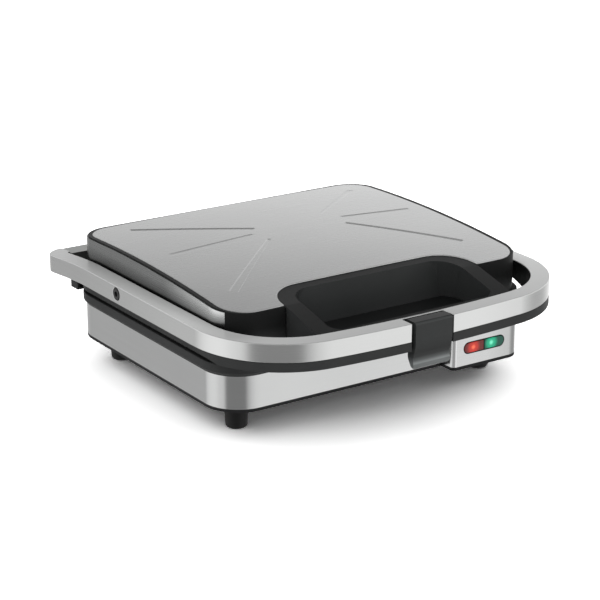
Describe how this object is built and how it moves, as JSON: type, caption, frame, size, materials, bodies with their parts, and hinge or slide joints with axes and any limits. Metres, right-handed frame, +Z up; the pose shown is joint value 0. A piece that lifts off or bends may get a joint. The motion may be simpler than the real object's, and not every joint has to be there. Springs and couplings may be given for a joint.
{
  "type": "sandwich toaster",
  "caption": "Countertop sandwich toaster with a steel base, a hinged lid with a finger pocket, a wrap-round handle, a clip latch and pilot lamps.",
  "frame": {"origin": "on the surface the feet stand on, midway across and midway front to back of the whole object", "axes": "+Z up; the front with the latch and the lamps faces -Y; +X to the right seen from the front; +Y to the hinge"},
  "size_m": [0.3188, 0.3334, 0.1096],
  "materials": {
    "skirt_steel": "satin",
    "side_steel": "satin",
    "lid_steel": "brushed",
    "handle_steel": "satin",
    "bar_steel": "satin",
    "rim_plastic": "fine grain",
    "base_plastic": "matt",
    "pocket_plastic": "fine grain",
    "latch_plastic": "satin",
    "foot_rubber": "matt",
    "screw_steel": "bright",
    "black_screw": "blackened",
    "red_lens": "clear tinted",
    "green_lens": "clear tinted",
    "insulator": "matt",
    "lamp_glass": "clear",
    "plate_coating": "non-stick coated",
    "element_steel": "oxidised",
    "reflector_aluminium": "bright"
  },
  "bodies": {
    "base": {"base_skirt": "skirt_steel", "base_rim": "rim_plastic", "bottom_cover": "base_plastic", "feet": "foot_rubber", "base_screws": "screw_steel", "lamp_panel": "skirt_steel", "panel_housing": "base_plastic", "lens_frame": "base_plastic", "red_lens": "red_lens", "green_lens": "green_lens", "lamp_holder": "insulator", "neon_lamps": "lamp_glass", "lower_plate": "plate_coating", "lower_element": "element_steel", "lower_reflector": "reflector_aluminium", "thermostat": "insulator", "thermal_fuse": "reflector_aluminium", "terminal_block": "insulator", "cord_bush": "foot_rubber", "hinge_housing": "rim_plastic", "housing_screws": "screw_steel", "hinge_pins": "screw_steel", "catch_arm": "rim_plastic", "catch_screws": "screw_steel"},
    "lid": {"lid_frame": "rim_plastic", "lid_side_band": "side_steel", "lid_top_plate": "lid_steel", "finger_pocket": "pocket_plastic", "handle_band": "handle_steel", "handle_core": "rim_plastic", "rear_bar": "bar_steel", "rear_bar_screws": "screw_steel", "side_screws": "black_screw", "arm_spacers": "base_plastic", "upper_plate": "plate_coating", "upper_element": "element_steel", "upper_reflector": "reflector_aluminium", "upper_screws": "screw_steel", "latch_pin": "screw_steel"},
    "latch": {"latch": "latch_plastic"}
  },
  "joints": [
    {"name": "lid_hinge", "type": "hinge", "parent": "base", "child": "lid", "pos_m": [0, 0.15321, 0.068], "axis": [-1, 0, 0], "range_deg": [0, 100]},
    {"name": "latch_pivot", "type": "hinge", "parent": "lid", "child": "latch", "pos_m": [0, -0.15649, 0.086], "axis": [-1, 0, 0], "range_deg": [0, 50]}
  ]
}
